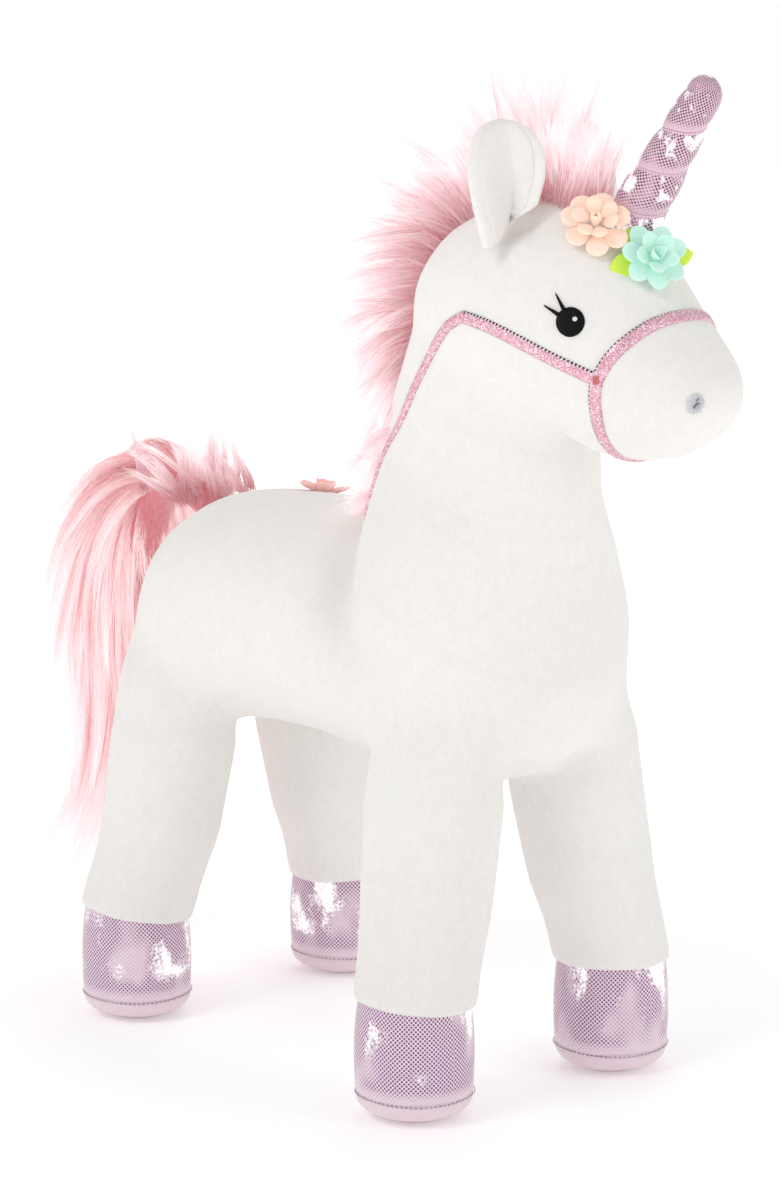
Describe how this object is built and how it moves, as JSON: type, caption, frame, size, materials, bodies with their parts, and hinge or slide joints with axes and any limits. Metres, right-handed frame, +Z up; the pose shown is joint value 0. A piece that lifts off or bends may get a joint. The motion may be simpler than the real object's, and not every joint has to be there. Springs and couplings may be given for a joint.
{
  "type": "plush unicorn",
  "caption": "Standing stuffed unicorn with a pinched fabric horn, felt flowers, ribbon bridle, and fur mane and tail.",
  "frame": {"origin": "on the floor under the middle of the whole toy", "axes": "+X the way the body faces, +Y the unicorn's left, +Z up"},
  "size_m": [0.3291, 0.138, 0.347],
  "materials": {
    "white_pile": "short soft pile",
    "fibre_filling": "loose fibre",
    "horn_fabric": "metallic lilac weave",
    "horn_thread": "satin thread",
    "hoof_fabric": "metallic lilac weave",
    "hoof_sole_fabric": "metallic lilac weave",
    "eye_thread": "satin stitch",
    "nostril_thread": "satin stitch",
    "felt_peach": "felt",
    "felt_mint": "felt",
    "felt_lime": "felt",
    "felt_coral": "felt",
    "glitter_ribbon": "glitter weave with a dark silver edge",
    "pink_fur": "long pile",
    "pink_fabric": "woven",
    "ear_lining": "short soft pile"
  },
  "bodies": {
    "trunk": {"body_panel_right": "white_pile", "body_panel_left": "white_pile", "belly_gusset": "white_pile", "body_filling": "fibre_filling", "back_flower": "felt_coral"},
    "neck": {"neck_panel_right": "white_pile", "neck_panel_left": "white_pile", "neck_filling": "fibre_filling", "crest_mane": "pink_fur", "rein_right": "glitter_ribbon", "rein_left": "glitter_ribbon"},
    "ear_right": {"ear_right_outer": "white_pile", "ear_right_lining": "ear_lining"},
    "ear_left": {"ear_left_outer": "white_pile", "ear_left_lining": "ear_lining"},
    "tail": {"tail_root": "pink_fabric", "tail_fur": "pink_fur"},
    "leg_front_right": {"leg_skin_front_right": "white_pile", "leg_filling_front_right": "fibre_filling", "hoof_cover_front_right": "hoof_fabric", "hoof_sole_front_right": "hoof_sole_fabric"},
    "leg_front_left": {"leg_skin_front_left": "white_pile", "leg_filling_front_left": "fibre_filling", "hoof_cover_front_left": "hoof_fabric", "hoof_sole_front_left": "hoof_sole_fabric"},
    "leg_hind_right": {"leg_skin_hind_right": "white_pile", "leg_filling_hind_right": "fibre_filling", "hoof_cover_hind_right": "hoof_fabric", "hoof_sole_hind_right": "hoof_sole_fabric"},
    "leg_hind_left": {"leg_skin_hind_left": "white_pile", "leg_filling_hind_left": "fibre_filling", "hoof_cover_hind_left": "hoof_fabric", "hoof_sole_hind_left": "hoof_sole_fabric"},
    "head": {"head_panel_right": "white_pile", "head_panel_left": "white_pile", "head_gusset": "white_pile", "head_filling": "fibre_filling", "eye_right": "eye_thread", "eye_left": "eye_thread", "lashes_right": "eye_thread", "lashes_left": "eye_thread", "nostril_right": "nostril_thread", "nostril_left": "nostril_thread", "horn_cover": "horn_fabric", "horn_filling": "fibre_filling", "horn_thread": "horn_thread", "peach_outer": "felt_peach", "peach_inner": "felt_peach", "mint_outer": "felt_mint", "mint_inner": "felt_mint", "flower_leaves": "felt_lime", "poll_mane": "pink_fur", "forelock": "pink_fur", "noseband": "glitter_ribbon", "cheek_strap_right": "glitter_ribbon", "cheek_strap_left": "glitter_ribbon"}
  },
  "joints": [
    {"name": "neck_nod", "type": "hinge", "parent": "trunk", "child": "neck", "pos_m": [0.06955, 0, 0.197], "axis": [0, 1, 0], "range_deg": [-7, 12], "stiffness_Nm_per_rad": 3},
    {"name": "head_turn", "type": "hinge", "parent": "neck", "child": "head", "pos_m": [0.07555, 0, 0.237], "axis": [0, 0, 1], "range_deg": [-34, 10], "stiffness_Nm_per_rad": 0.3},
    {"name": "ear_right_fold", "type": "hinge", "parent": "head", "child": "ear_right", "pos_m": [0.09665, -0.0175, 0.2984], "axis": [0.891, 0.454, 0], "range_deg": [-6, 15], "stiffness_Nm_per_rad": 0.03},
    {"name": "ear_left_fold", "type": "hinge", "parent": "head", "child": "ear_left", "pos_m": [0.08771, 0.02456, 0.2984], "axis": [0.9986, -0.0523, 0], "range_deg": [-15, 6], "stiffness_Nm_per_rad": 0.03},
    {"name": "tail_swing", "type": "hinge", "parent": "trunk", "child": "tail", "pos_m": [-0.09445, 0, 0.184], "axis": [1, 0, 0], "range_deg": [-15, 15], "stiffness_Nm_per_rad": 0.15},
    {"name": "hip_front_right", "type": "hinge", "parent": "trunk", "child": "leg_front_right", "pos_m": [0.07755, -0.032, 0.105], "axis": [0, 1, 0], "range_deg": [-8, 8], "stiffness_Nm_per_rad": 3},
    {"name": "hip_front_left", "type": "hinge", "parent": "trunk", "child": "leg_front_left", "pos_m": [0.07755, 0.032, 0.105], "axis": [0, 1, 0], "range_deg": [-8, 8], "stiffness_Nm_per_rad": 3},
    {"name": "hip_hind_right", "type": "hinge", "parent": "trunk", "child": "leg_hind_right", "pos_m": [-0.07345, -0.033, 0.105], "axis": [0, 1, 0], "range_deg": [-8, 8], "stiffness_Nm_per_rad": 3},
    {"name": "hip_hind_left", "type": "hinge", "parent": "trunk", "child": "leg_hind_left", "pos_m": [-0.07345, 0.033, 0.105], "axis": [0, 1, 0], "range_deg": [-8, 8], "stiffness_Nm_per_rad": 3}
  ]
}
